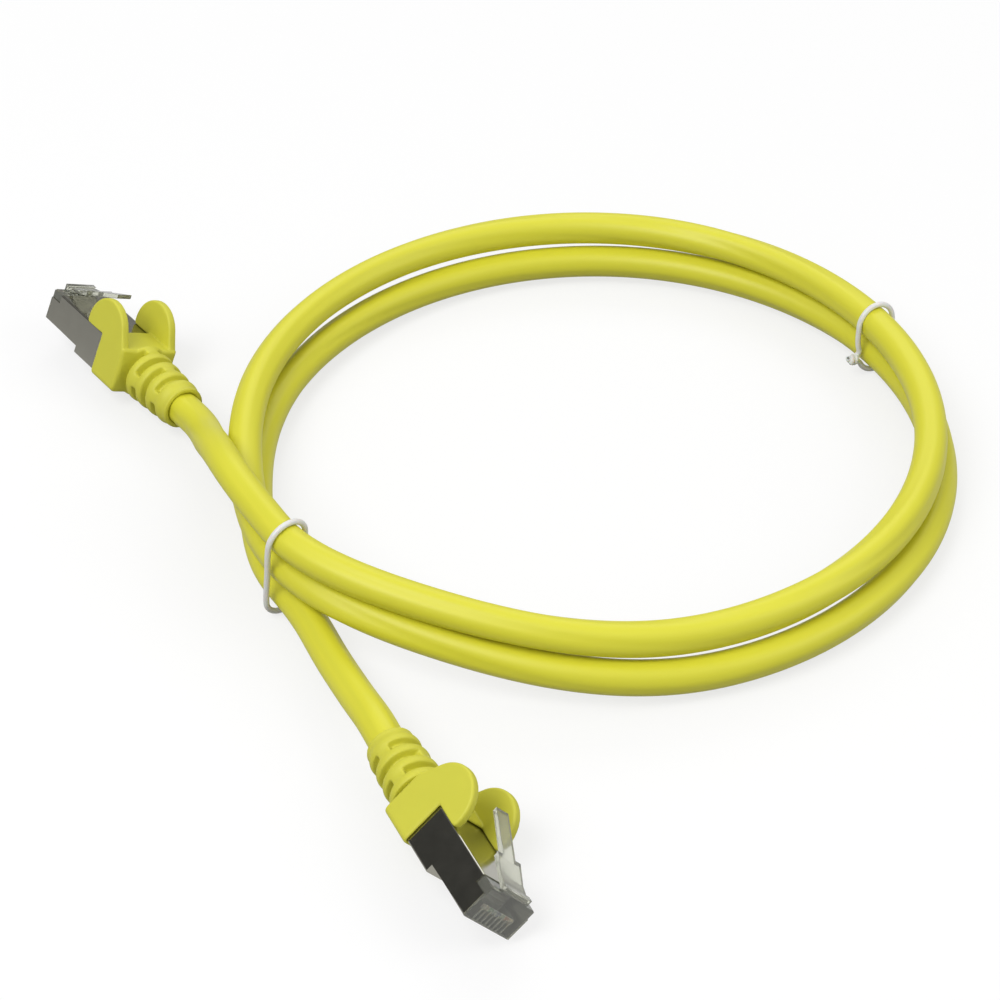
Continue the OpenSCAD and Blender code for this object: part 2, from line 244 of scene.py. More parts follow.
def roughen(tree, shader, strength, distance, height):
    """Raises the surface by a texture's height: distance is the full height in metres."""
    bump = add_node(tree, "ShaderNodeBump", {"Strength": strength, "Distance": distance}, {"Height": height})
    tree.links.new(bump.outputs["Normal"], shader.inputs["Normal"])


def new_material(name):
    """An empty node material: its tree, its surface shader and where the shader's numbers are set."""
    material = bpy.data.materials.new(name)
    material.use_nodes = True
    tree = material.node_tree
    shader = tree.nodes["Principled BSDF"]
    return material, tree, shader


def set_shader(shader, **numbers):
    """Sets the shader's own sockets; a name's underscores stand for spaces."""
    for key, value in numbers.items():
        shader.inputs[key.replace("_", " ")].default_value = value


def two_tone(tree, code, darker, factor):
    """A colour that varies from code down to a share of it, by a factor from 0 to 1."""
    base = linear(code)
    low = [c * darker for c in base[:3]] + [1.0]
    ramp = add_node(tree, "ShaderNodeMix", {6: low, 7: base}, {0: factor}, data_type="RGBA")
    return ramp.outputs[2]


# ---- Finishes ----


def extruded_pvc(code):
    """Extruded PVC jacket: a soft satin skin with faint drawn streaks along its length and fine speckle.

    The streaks run along the piece's own UV map, whose U goes round the cable and V along it.
    """
    material, tree, shader = new_material("extruded_pvc_jacket")
    uv = add_node(tree, "ShaderNodeUVMap", uv_map="UVMap")
    # 14 streaks round the cable, each some 60 mm long
    stretched = add_node(tree, "ShaderNodeMapping", {"Scale": (14, 16, 1)}, {"Vector": uv.outputs["UV"]})
    streaks = add_node(
        tree, "ShaderNodeTexNoise", {"Scale": 1.0, "Detail": 3.0}, {"Vector": stretched.outputs["Vector"]}
    )
    # 0.25 mm speckle, about the size of the die's orange-peel grain
    grain = object_noise(tree, 4000.0, 2.0)
    # Slow drift of tone every 40 mm or so
    drift = object_noise(tree, 25.0, 1.0)
    tone = add_node(
        tree,
        "ShaderNodeMath",
        {1: 0.5},
        {0: streaks.outputs["Fac"], 2: drift.outputs["Fac"]},
        operation="MULTIPLY_ADD",
    )
    tree.links.new(two_tone(tree, code, 0.9, tone.outputs["Value"]), shader.inputs["Base Color"])
    streak_bump = add_node(
        tree, "ShaderNodeBump", {"Strength": 0.25, "Distance": 0.00006}, {"Height": streaks.outputs["Fac"]}
    )
    grain_bump = add_node(
        tree,
        "ShaderNodeBump",
        {"Strength": 0.2, "Distance": 0.00002},
        {"Height": grain.outputs["Fac"], "Normal": streak_bump.outputs["Normal"]},
    )
    tree.links.new(grain_bump.outputs["Normal"], shader.inputs["Normal"])
    set_shader(
        shader,
        Roughness=0.46,
        IOR=1.53,
        Subsurface_Weight=0.07,
        Subsurface_Radius=(1.0, 0.8, 0.15),
        Subsurface_Scale=0.0012,
    )
    return material


def moulded_pvc(code):
    """Injection-moulded soft PVC boot: matte, with the fine spark-eroded grain of its mould."""
    material, tree, shader = new_material("moulded_pvc_boot")
    # 0.2 mm mould grain
    grain = object_noise(tree, 5000.0, 3.0)
    # Cloudy drift of tone every 5 mm, so that the broad faces don't look painted
    drift = object_noise(tree, 180.0, 2.0)
    tree.links.new(two_tone(tree, code, 0.93, drift.outputs["Fac"]), shader.inputs["Base Color"])
    roughen(tree, shader, 0.25, 0.00002, grain.outputs["Fac"])
    set_shader(
        shader,
        Roughness=0.55,
        IOR=1.53,
        Subsurface_Weight=0.04,
        Subsurface_Radius=(1.0, 0.8, 0.15),
        Subsurface_Scale=0.001,
    )
    return material


def plated_nickel(code):
    """Nickel-plated rolled sheet: a dull mirror with fine rolling lines and handling scuffs."""
    material, tree, shader = new_material("nickel_plated_sheet")
    # 2 mm scuffs that break up the mirror
    scuffs = object_noise(tree, 420.0, 5.0)
    gloss = {"To Min": 0.1, "To Max": 0.24}
    rough = add_node(tree, "ShaderNodeMapRange", gloss, {"Value": scuffs.outputs["Fac"]})
    tree.links.new(rough.outputs["Result"], shader.inputs["Roughness"])
    tree.links.new(two_tone(tree, code, 0.86, scuffs.outputs["Fac"]), shader.inputs["Base Color"])
    roughen(tree, shader, 0.12, 0.00003, scuffs.outputs["Fac"])
    set_shader(shader, Metallic=1.0)
    return material


def clear_polycarbonate():
    """Polished clear polycarbonate: slightly grey, with faint flow marks from the mould."""
    material, tree, shader = new_material("clear_polycarbonate")
    # 3 mm flow marks that bend what shows through
    flow = object_noise(tree, 350.0, 2.0)
    roughen(tree, shader, 0.15, 0.00006, flow.outputs["Fac"])
    set_shader(shader, Base_Color=linear("#C9CABD"), Roughness=0.1, IOR=1.58, Transmission_Weight=0.8)
    return material


def milky_polycarbonate():
    """Milky moulded polycarbonate of the load bar."""
    material, tree, shader = new_material("milky_polycarbonate")
    # Cloud every 1.5 mm in the milky body
    cloud = object_noise(tree, 600.0, 2.0)
    tree.links.new(two_tone(tree, "#E6E4DA", 0.92, cloud.outputs["Fac"]), shader.inputs["Base Color"])
    set_shader(shader, Roughness=0.35, IOR=1.58, Transmission_Weight=0.3)
    return material


def gold_plating(code):
    """Polished gold plating over nickel on stamped bronze, with faint stamping lines."""
    material, tree, shader = new_material("gold_plated_bronze")
    # 0.4 mm marks of the stamping tool, seen as uneven gloss
    lines = object_noise(tree, 2500.0, 2.0)
    gloss = {"To Min": 0.14, "To Max": 0.28}
    rough = add_node(tree, "ShaderNodeMapRange", gloss, {"Value": lines.outputs["Fac"]})
    tree.links.new(rough.outputs["Result"], shader.inputs["Roughness"])
    set_shader(shader, Base_Color=linear(code), Metallic=1.0)
    return material


def tinned_braid():
    """Tinned copper braid: wires crossing every 0.6 mm, with painted shade in the hollows between them."""
    material, tree, shader = new_material("tinned_copper_braid")
    coords = add_node(tree, "ShaderNodeTexCoord")
    lines = add_node(
        tree,
        "ShaderNodeTexVoronoi",
        {"Scale": 1700.0},
        {"Vector": coords.outputs["Object"]},
        distance="CHEBYCHEV",
    )
    # Painted shade: the tin's grey darkens to 0.45 of itself in the hollows between the crossing wires
    tree.links.new(two_tone(tree, "#B9B7B1", 0.45, lines.outputs["Distance"]), shader.inputs["Base Color"])
    roughen(tree, shader, 0.8, 0.0001, lines.outputs["Distance"])
    set_shader(shader, Metallic=1.0, Roughness=0.38)
    return material


def wire_insulation(slot_name, code):
    """Thin solid polyolefin insulation, smooth, with a faint drawn tone."""
    material, tree, shader = new_material(slot_name)
    # Faint tone every 1 mm
    tone = object_noise(tree, 900.0, 2.0)
    tree.links.new(two_tone(tree, code, 0.88, tone.outputs["Fac"]), shader.inputs["Base Color"])
    set_shader(shader, Roughness=0.32, IOR=1.5)
    return material


def coated_wire(code):
    """White PVC coat extruded on a wire: smooth and slightly glossy."""
    material, tree, shader = new_material("white_pvc_coat")
    # Faint waviness every 1.4 mm, from the extruder
    tone = object_noise(tree, 700.0, 2.0)
    tree.links.new(two_tone(tree, code, 0.93, tone.outputs["Fac"]), shader.inputs["Base Color"])
    roughen(tree, shader, 0.1, 0.00003, tone.outputs["Fac"])
    set_shader(shader, Roughness=0.33, IOR=1.53, Subsurface_Weight=0.1, Subsurface_Scale=0.0006)
    return material


def cut_steel():
    """Annealed steel wire, bare where it is cut, with drawn lines and a grey oxide."""
    material, tree, shader = new_material("annealed_steel_wire")
    # 0.4 mm patches of grey oxide
    oxide = object_noise(tree, 2600.0, 3.0)
    tree.links.new(two_tone(tree, "#9A9A98", 0.6, oxide.outputs["Fac"]), shader.inputs["Base Color"])
    set_shader(shader, Metallic=1.0, Roughness=0.42)
    return material


# ---- Places ----


def plug_frame(side):
    """A plug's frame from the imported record: its axes as rows, and its origin.

    X is the nose face's normal, Y is against the latch hinge's axis and Z is across both.
    The nose mount lies 1 mm above the cable's axis.
    """
    nose = next(m for m in frame["record"]["mounts"] if m["name"] == f"plug_{side}_nose")
    hinge = next(j for j in frame["record"]["behaviour"]["joints"] if j["child"] == f"latch_{side}")
    x = np.array(nose["axis"], float)
    x /= np.linalg.norm(x)
    y = -np.array(hinge["axis"], float)
    y -= x * (x @ y)
    y /= np.linalg.norm(y)
    z = np.cross(x, y)
    origin = np.array(nose["pos_m"], float) - settings().plug_sizes.nose_distance * x - 1 * MM * z
    return np.array([x, y, z]), origin


def at_plug(side, points):
    """Points in a plug's frame, as points in the part's frame."""
    axes, origin = plug_frame(side)
    return np.asarray(points, float) @ axes + origin


# Where the turns pass the first tie, and the ties' places round the coil in degrees
TIE_1_AT = np.array([-29.9, -5.5]) * MM
TIE_1_ANGLE = 220.0
TIE_2_ANGLE = 31.0
# How many strands each tie holds, and how far it leans back along them
TIE_STRANDS = (3, 2)
TIE_LEAN = (-2.6 * MM, -1.4 * MM)
# The turns' shape in degrees: the width of the bulge, the ways they shift and are oval, how long a
# change of level and of side takes, and where the second turn ends
BULGE_SPREAD = 22.0
SHIFT_ANGLE = 130.0
OVAL_ANGLE = 75.0
DROP_ANGLE = 70.0
SWAP_ANGLE = 108.0
LAST_PHI = 712.0

# The route's listed points from plug a to the coil, and from the coil to plug b
END_A = [
    (-0.0514, 0.0455, 0.0072),
    (-0.0492, 0.0395, 0.0089),
    (-0.0478, 0.0333, 0.0118),
    (-0.0457, 0.0256, 0.0154),
    (-0.0427, 0.017, 0.0176),
    (-0.0387, 0.009, 0.0177),
    (-0.0345, 0.0015, 0.0177),
]
END_B = [
    (-0.0305, -0.0042, 0.0044),
    (-0.0266, -0.0116, 0.0044),
    (-0.0232, -0.0198, 0.0046),
    (-0.0198, -0.0279, 0.0054),
    (-0.0168, -0.0352, 0.0067),
    (-0.014, -0.0418, 0.0078),
]


def smooth_step(x):
    """0 up to 0, 1 from 1, and 3x^2 - 2x^3 between."""
    c = np.clip(x, 0, 1)
    return c * c * (3 - 2 * c)


def turn_radius(phi):
    """Radius of the turns phi degrees on from the first tie: slightly oval, with a bulge at that tie."""
    sizes = settings().cable_sizes
    from_tie = np.abs((phi + 180) % 360 - 180)
    oval = sizes.coil_oval * np.cos(np.radians(2 * (TIE_1_ANGLE + phi - OVAL_ANGLE)))
    return sizes.coil_radius + oval + sizes.coil_bulge * np.exp(-((from_tie / BULGE_SPREAD) ** 2))


def coil_middle():
    """The coil's middle, a turn's radius in from the first tie."""
    a = math.radians(TIE_1_ANGLE)
    return TIE_1_AT - turn_radius(0.0) * np.array([math.cos(a), math.sin(a)])


def lowest_strand():
    """Height of the lowest strand's middle, which lies on the ties."""
    return settings().tie_sizes.diameter + 0.05 * MM + settings().cable_sizes.diameter / 2


def coil_points(phi):
    """Points along the two turns, phi degrees on from the first tie.

    The level drops by a strand's height as each turn starts, and the turns swap sides once.
    """
    sizes = settings().cable_sizes
    a = np.radians(TIE_1_ANGLE + phi)
    level = 2 - smooth_step(phi / DROP_ANGLE) - smooth_step((phi - 360) / DROP_ANGLE)
    shift = sizes.turn_shift * (1 - 2 * smooth_step((phi - 360) / SWAP_ANGLE + 0.5))
    s = math.radians(SHIFT_ANGLE)
    middle, r = coil_middle(), turn_radius(phi)
    z = lowest_strand() + (sizes.diameter + sizes.strand_gap) * level
    x = middle[0] + r * np.cos(a) + shift * math.cos(s)
    y = middle[1] + r * np.sin(a) + shift * math.sin(s)
    return np.stack([x, y, z], axis=1)


def through(points, step):
    """A smooth curve through points, sampled about every step.

    Each coordinate is a natural cubic spline over the points' running chord length.
    """
    points = np.asarray(points, float)
    at = np.concatenate([[0], np.cumsum(np.linalg.norm(np.diff(points, axis=0), axis=1))])
    h = np.diff(at)
    count = len(points)
    system = np.zeros((count, count))
    right = np.zeros((count, 3))
    system[0, 0] = system[-1, -1] = 1
    inner = np.arange(1, count - 1)
    system[inner, inner - 1] = h[:-1]
    system[inner, inner] = 2 * (h[:-1] + h[1:])
    system[inner, inner + 1] = h[1:]
    slopes = np.diff(points, axis=0) / h[:, None]
    right[1:-1] = 6 * np.diff(slopes, axis=0)
    curve = np.linalg.solve(system, right)
    s = np.linspace(0, at[-1], int(at[-1] / step) + 1)
    i = np.clip(np.searchsorted(at, s, side="right") - 1, 0, count - 2)
    t = (s - at[i])[:, None]
    hi = h[i][:, None]
    start_slope = slopes[i] - hi * (2 * curve[i] + curve[i + 1]) / 6
    return points[i] + start_slope * t + curve[i] / 2 * t**2 + (curve[i + 1] - curve[i]) / (6 * hi) * t**3


def cable_route():
    """The jacket's centre line, from inside plug a's boot, round the two turns and into plug b's boot."""
    end = settings().plug_sizes.jacket_end
    straight = np.zeros((6, 3))
    straight[:, 0] = np.linspace(end, 0, 6)
    turns = coil_points(np.linspace(0, LAST_PHI, 60))
    return through(
        np.concatenate([at_plug("a", straight), END_A, turns, END_B, at_plug("b", straight[::-1])]), 0.7 * MM
    )


def carry(profile, path, reference):
    """Rings of a flat profile carried along a path.

    Each ring is square to the path, with its first axis square to the reference direction too.
    The profile is an array of (row, point, 2), or (point, 2) where it is the same all along.
    """
    along = np.gradient(path, axis=0)
    along /= np.linalg.norm(along, axis=1, keepdims=True)
    across = np.cross(reference, along)
    across /= np.linalg.norm(across, axis=1, keepdims=True)
    up = np.cross(along, across)
    return path[:, None] + profile[..., :1] * across[:, None] + profile[..., 1:] * up[:, None]


def circle(radius, columns):
    """Points round a circle."""
    around = np.linspace(0, 2 * math.pi, columns, endpoint=False)
    return radius * np.stack([np.cos(around), np.sin(around)], axis=-1)


def give_uv(piece, rows, columns, real_length):
    """A UV map on a capped tube's grid: U is the share of the way round, V is how far along in metres."""
    layer = piece.data.uv_layers.new(name="UVMap")
    vertex = np.empty(len(piece.data.loops), np.int32)
    piece.data.loops.foreach_get("vertex_index", vertex)
    row, column = np.divmod(vertex, columns)
    column = column.reshape(-1, 4)
    wraps = (column.max(axis=1) - column.min(axis=1) > 1)[:, None]
    column = np.where(wraps & (column == 0), columns, column)
    along = np.clip(row - 1, 0, rows - 3) / (rows - 3) * real_length
    uv = np.stack([column.ravel() / columns, along], axis=1)
    layer.data.foreach_set("uv", uv.astype(np.float32).ravel())


# ---- Operators ----


class PATCH_OT_camera(bpy.types.Operator):
    """Place the camera that looks down on the coil from the front"""

    bl_idname = "patch.camera"
    bl_label = "Camera"

    def execute(self, context):
        target = np.array([7, 30, 0]) * MM
        distance = 562.85 * MM
        elevation = math.radians(37.763)
        data = bpy.data.cameras.new("camera")
        data.lens = 106.43
        data.sensor_width = 36
        data.clip_start = 0.01
        camera = bpy.data.objects.new("camera", data)
        camera.location = target + distance * np.array([0, -math.cos(elevation), math.sin(elevation)])
        camera.rotation_euler = (math.pi / 2 - elevation, 0, 0)
        context.scene.collection.objects.link(camera)
        context.scene.camera = camera
        return {"FINISHED"}


class PATCH_OT_cable(bpy.types.Operator):
    """Sweep the jacket along its route"""

    bl_idname = "patch.cable"
    bl_label = "Cable"

    def execute(self, context):
        sizes = context.scene.cable_sizes
        path = cable_route()
        run = np.concatenate([[0], np.cumsum(np.linalg.norm(np.diff(path, axis=0), axis=1))])
        columns = 40
        around = np.linspace(0, 2 * math.pi, columns, endpoint=False)
        # Soft flats over the four pairs wander round the jacket:
        # r = R - depth * (1 - |cos(2 (angle - twist))|)^1.4
        twist = 2 * math.pi * run / sizes.lay_length + 0.35 * np.sin(run * 37)
        wave = np.abs(np.cos(2 * (around[None] - twist[:, None])))
        deepness = sizes.flat_depth * (0.75 + 0.25 * np.sin(run * 61 + 1.3))[:, None]
        radius = sizes.diameter / 2 - deepness * (1 - wave) ** 1.4
        profile = np.stack([radius * np.cos(around), radius * np.sin(around)], axis=-1)
        rings = capped(carry(profile, path, np.array([0, 0, 1.0])))
        piece = join_grids("cable", [(rings, False)])
        give_uv(piece, len(rings), columns, run[-1])
        merge_poles(piece)
        piece.data.materials.append(extruded_pvc(context.scene.colours.jacket))
        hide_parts("cable_jacket")
        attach(piece, "cable")
        return {"FINISHED"}


class PATCH_OT_ties(bpy.types.Operator):
    """Wrap the two wire ties round the strands, with their ends twisted"""

    bl_idname = "patch.ties"
    bl_label = "Wire ties"

    def execute(self, context):
        sizes = context.scene.tie_sizes
        coat = coated_wire(context.scene.colours.tie)
        steel = cut_steel()
        for number in (1, 2):
            path, normal = tie_path(number)
            core = extend_ends(path, 0.25 * MM)
            for part, line, diameter, columns, material, slot_name in (
                ("coat", path, sizes.diameter, 20, coat, "tie_coat_pvc"),
                ("wire", core, sizes.wire_diameter, 12, steel, "tie_wire_steel"),
            ):
                rings = capped(carry(circle(diameter / 2, columns), line, normal))
                piece = join_grids(f"tie_{number}_{part}", [(rings, False)])
                merge_poles(piece)
                piece.data.materials.append(material)
                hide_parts(f"tie_{part}_{number}")
                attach(piece, "cable")
        return {"FINISHED"}


def tie_path(number):
    """A tie's centre line, and the direction square to its loop.

    The loop is two half circles joined by straight sides, round the stacked strands. Both ends turn
    towards the coil's middle and wind round each other as a double helix.
    """
    cable, sizes = settings().cable_sizes, settings().tie_sizes
    angle = (TIE_1_ANGLE, TIE_2_ANGLE)[number - 1]
    a = math.radians(angle)
    outwards = np.array([math.cos(a), math.sin(a), 0])
    normal = np.array([-math.sin(a), math.cos(a), 0])
    half = sizes.diameter / 2
    r = cable.diameter / 2 + sizes.slack + half
    low = r + half
    stack = (cable.diameter + cable.strand_gap) * (TIE_STRANDS[number - 1] - 1)
    high = lowest_strand() + stack + cable.diameter / 2 + half + 0.05 * MM - r
    # The ends meet a little below the low half circle's middle, and wind 0.85 of a turn
    knot = low - 0.4 * MM
    t = np.linspace(0, 1, 9)
    reach = -r - 0.45 * sizes.diameter - sizes.twist_length * t
    helix = math.pi / 2 + 1.7 * math.pi * t
    ends = [
        np.stack([reach, s * half * np.cos(helix), knot + s * half * np.sin(helix)], axis=1) for s in (1, -1)
    ]
    top = np.linspace(math.pi, 0, 14)
    bottom = np.linspace(0, -math.pi + 0.42, 14)
    loop = np.concatenate(
        [
            [[-r, 0, knot + sizes.diameter]],
            [[-r, 0, knot + 2 * sizes.diameter]],
            np.stack([r * np.cos(top), 0 * top, high + r * np.sin(top)], axis=1),
            [[r, 0, (low + high) / 2]],
            np.stack([r * np.cos(bottom), 0 * bottom, low + r * np.sin(bottom)], axis=1),
        ]
    )
    local = through(np.concatenate([ends[0][::-1], loop, ends[1]]), 0.12 * MM)
    middle = coil_middle()
    radius = turn_radius(angle - TIE_1_ANGLE)
    start = np.array([middle[0], middle[1], 0]) + radius * outwards
    # The tie leans back along the strands, more at its foot than at its top
    lean = TIE_LEAN[number - 1] * (1.4 - local[:, 2:] / (high + r))
    local[:, 1:2] += lean
    return start + local @ np.array([outwards, normal, (0, 0, 1.0)]), normal


def extend_ends(path, extra):
    """A path run on straight at both ends by extra."""
    start = path[0] + (path[0] - path[1]) / np.linalg.norm(path[0] - path[1]) * extra
    end = path[-1] + (path[-1] - path[-2]) / np.linalg.norm(path[-1] - path[-2]) * extra
    return np.concatenate([[start], path, [end]])


class PATCH_OT_boots(bpy.types.Operator):
    """Mould the two boots: slotted relief, block and ears in one body"""

    bl_idname = "patch.boots"
    bl_label = "Boots"

    def execute(self, context):
        material = moulded_pvc(context.scene.colours.boot)
        shells = [relief_shell(), block_shell(), ear_shell(1), ear_shell(-1)]
        for side in SIDES:
            grids = [(at_plug(side, rings), closed) for rings, closed in shells]
            piece = join_grids(f"boot_{side}_moulded", grids)
            merge_poles(piece)
            join = piece.modifiers.new("one body", "REMESH")
            join.mode = "VOXEL"
            join.voxel_size = context.scene.boot_sizes.grain
            join.use_smooth_shade = True
            soften = piece.modifiers.new("soft edges", "SMOOTH")
            soften.factor = 0.5
            soften.iterations = 4
            thin = piece.modifiers.new("fewer faces", "DECIMATE")
            thin.ratio = 0.45
            bake(piece)
            piece.data.materials.clear()
            piece.data.materials.append(material)
            piece.data.polygons.foreach_set("use_smooth", np.ones(len(piece.data.polygons), bool))
            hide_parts(f"boot_{side}")
            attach(piece, "cable")
        return {"FINISHED"}


def revolve(x, radius, columns):
    """Rings about the X axis: x and radius are arrays of (row,) or (row, column)."""
    around = np.linspace(0, 2 * math.pi, columns, endpoint=False)
    radius = radius if radius.ndim == 2 else np.repeat(radius[:, None], columns, axis=1)
    x = np.repeat(x[:, None], columns, axis=1)
    return np.stack([x, radius * np.cos(around), radius * np.sin(around)], axis=-1)


def relief_shell():
    """The strain relief: a tapered tube whose outside dips to the slots' floor inside each slot.

    Even slots have their bars on the latch side and the far side, odd slots on the left and right.
    Between the slots the outside swells a little, as -0.16 mm * cos(2 pi x / pitch) about a slot's middle.
    """
    boot, cable = settings().boot_sizes, settings().cable_sizes
    columns = 128
    bore = cable.diameter / 2 + 0.1 * MM
    end = boot.relief_length + 0.9 * MM
    x = np.linspace(0.45 * MM, end, 150)
    around = np.linspace(0, 2 * math.pi, columns, endpoint=False)
    first = boot.relief_length - boot.slot_width / 2
    taper = boot.tail_radius + (boot.root_radius - boot.tail_radius) * x / boot.relief_length
    swell = -0.16 * MM * np.cos(2 * math.pi * (x - first) / boot.slot_pitch)
    outside = np.repeat((taper + swell)[:, None], columns, axis=1)
    edge = 0.1 * MM
    for k in range(4):
        from_slot = np.abs(x - (first - k * boot.slot_pitch))
        in_slot = 1 - smooth_step((from_slot - boot.slot_width / 2 + edge) / (2 * edge))
        bar = math.pi / 2 if k % 2 == 0 else 0.0
        from_bar = np.abs((around - bar + math.pi / 2) % math.pi - math.pi / 2)
        off_bar = smooth_step((from_bar - math.radians(16)) / math.radians(5))
        depth = in_slot[:, None] * off_bar[None]
        outside = outside * (1 - depth) + boot.slot_floor * depth
    tail = boot.tail_radius
    lip_x = np.array([0.5, 0.12, 0.0, 0.0, 0.08, 0.25]) * MM
    lip_r = np.array([bore, bore, bore, tail, tail, tail]) + np.array([0, 0.05, 0.2, -0.45, -0.2, -0.05]) * MM
    inner_x = np.linspace(end, 0.8 * MM, 8)
    # Behind its lip the bore is a light press fit on the jacket
    rings = [revolve(lip_x, lip_r, columns), revolve(x, outside, columns)]
    rings.append(revolve(inner_x, np.full(8, bore - 0.3 * MM), columns))
    return np.concatenate(rings), True


def round_rectangle(width, height, corner, columns=96):
    """Points round a rectangle with round corners, a quarter of them at each corner.

    The upper corners are nearly square, since the ears stand on them.
    """
    turn = np.linspace(0, 2 * math.pi, columns, endpoint=False)
    quarter = np.floor(np.arange(columns) / (columns / 4))
    turn = quarter * math.pi / 2 + (turn - quarter * math.pi / 2) * (columns / 4) / (columns / 4 - 1)
    corner = np.where(quarter < 2, np.minimum(corner, 0.35 * MM), corner)
    corner = np.where(height < 8 * MM, np.minimum(width, height) / 2 - 0.01 * MM, corner)
    y = (width / 2 - corner) * np.where((quarter == 0) | (quarter == 3), 1, -1) + corner * np.cos(turn)
    z = (height / 2 - corner) * np.where(quarter < 2, 1, -1) + corner * np.sin(turn)
    return y, z


def block_shell():
    """The block: a rounded box with the shield's socket in front and the collar's chamber behind it.

    Each row of the table is x, width, height and corner radius of one ring, in mm, and the rings run
    from the cable's hole over the back, along the outside, over the front rim and back down the inside.
    """
    boot, plug = settings().boot_sizes, settings().plug_sizes
    w = (plug.width + 2 * boot.block_wall) / MM
    h = (plug.rear_height + 2 * boot.block_wall) / MM
    back = boot.relief_length / MM + 0.05
    front = back + boot.block_length / MM - 0.05
    socket_w, socket_h = plug.width / MM + 0.1, plug.rear_height / MM + 0.1
    rings = [
        (back, 6.9, 6.9, 3.44),
        (back, w - 1.6, h - 1.6, 0.9),
        (back + 0.15, w - 0.7, h - 0.7, 1.0),
        (back + 0.5, w, h, 1.1),
        (front - 0.5, w, h, 1.1),
        (front - 0.12, w - 0.25, h - 0.25, 1.0),
        (front, w - 0.6, h - 0.6, 0.8),
        (front, socket_w + 0.2, socket_h + 0.2, 0.3),
        (front - 0.3, socket_w, socket_h, 0.2),
        (front - 2.3, socket_w, socket_h, 0.2),
        (front - 2.3, 7.9, 7.9, 3.94),
        (back + 1.2, 7.9, 7.9, 3.94),
        (back + 1.2, 6.9, 6.9, 3.44),
    ]
    table = np.array(rings)[:, :, None] * MM
    y, z = round_rectangle(table[:, 1], table[:, 2], table[:, 3])
    return np.stack([np.broadcast_to(table[:, 0], y.shape), y, z], axis=-1), True


def ear_shell(s):
    """An ear beside the latch, on the side s: a disc that runs down to the block's back in a straight line.

    Its outline is polar about the disc's middle: R along the disc, R / cos(angle from the tangent point)
    along the line, and cut off level with the shield's top. Its edges are drawn in at both faces.
    """
    boot, plug = settings().boot_sizes, settings().plug_sizes
    top = plug.rear_height / 2
    middle_x = boot.relief_length + boot.block_length - 0.5 * MM
    middle_z = top + 1.2 * MM
    foot = np.array([boot.relief_length + 0.4 * MM - middle_x, top - middle_z])
    to_foot = math.atan2(foot[1], foot[0]) % (2 * math.pi)
    tangent = to_foot - math.acos(boot.ear_radius / np.linalg.norm(foot))
    around = np.linspace(0, 2 * math.pi, 96, endpoint=False)
    on_line = (around > tangent) & (around < to_foot)
    from_tangent = np.where(on_line, around - tangent, 0)
    radius = boot.ear_radius / np.cos(from_tangent)
    below = np.sin(around) < -0.01
    floor = (middle_z - top - 0.05 * MM) / np.where(below, -np.sin(around), 1)
    radius = np.where(below, np.minimum(radius, floor), radius)
    outer = (plug.width + 2 * boot.block_wall) / 2
    y = outer - np.array([boot.ear_thickness / MM, boot.ear_thickness / MM - 0.12, 1.3, 0.4, 0.1, 0]) * MM
    inset = np.array([0.35, 0.1, 0, 0, 0.12, 0.4])[:, None] * MM
    rings = np.stack(
        [
            middle_x + (radius[None] - inset) * np.cos(around),
            np.broadcast_to(s * y[:, None], (6, 96)),
            middle_z + (radius[None] - inset) * np.sin(around),
        ],
        axis=-1,
    )
    return capped(rings[:, ::-s] if s > 0 else rings), False


class PATCH_OT_plugs(bpy.types.Operator):
    """Finish the plugs: plated shields, clear housings and latches, contacts and conductors"""

    bl_idname = "patch.plugs"
    bl_label = "Plugs"

    def execute(self, context):
        colours, sizes = context.scene.colours, context.scene.plug_sizes
        finishes = {
            "shield": plated_nickel(colours.nickel),
            "housing": clear_polycarbonate(),
            "load_bar": milky_polycarbonate(),
            "braid": tinned_braid(),
        }
        finishes["latch"] = finishes["housing"]
        gold = gold_plating(colours.gold)
        coats = {name: wire_insulation(name, code) for name, code in INSULATION.items()}
        for side in SIDES:
            for kind, material in finishes.items():
                repaint(f"{kind}_{side}", material)
            folded_shield(side, sizes.fold_radius)
            soften_edges(f"housing_{side}", sizes.mould_radius)
            soften_edges(f"latch_{side}", sizes.mould_radius)
            for wire, material in zip(WIRES, coats.values()):
                repaint(f"contact_{side}{wire}", gold)
                repaint(f"conductor_{side}{wire}", material)
        return {"FINISHED"}


INSULATION = {
    "white_orange_insulation": "#F0D2B0",
    "orange_insulation": "#E07A28",
    "white_green_insulation": "#D2E2CC",
    "blue_insulation": "#2F5FB4",
    "white_blue_insulation": "#C6D4EC",
    "green_insulation": "#2E8B57",
    "white_brown_insulation": "#E2D2C0",
    "brown_insulation": "#7A4A2A",
}


def repaint(node, material):
    """Gives a CAD node one material."""
    data = frame["nodes"][node].data
    data.materials.clear()
    data.materials.append(material)


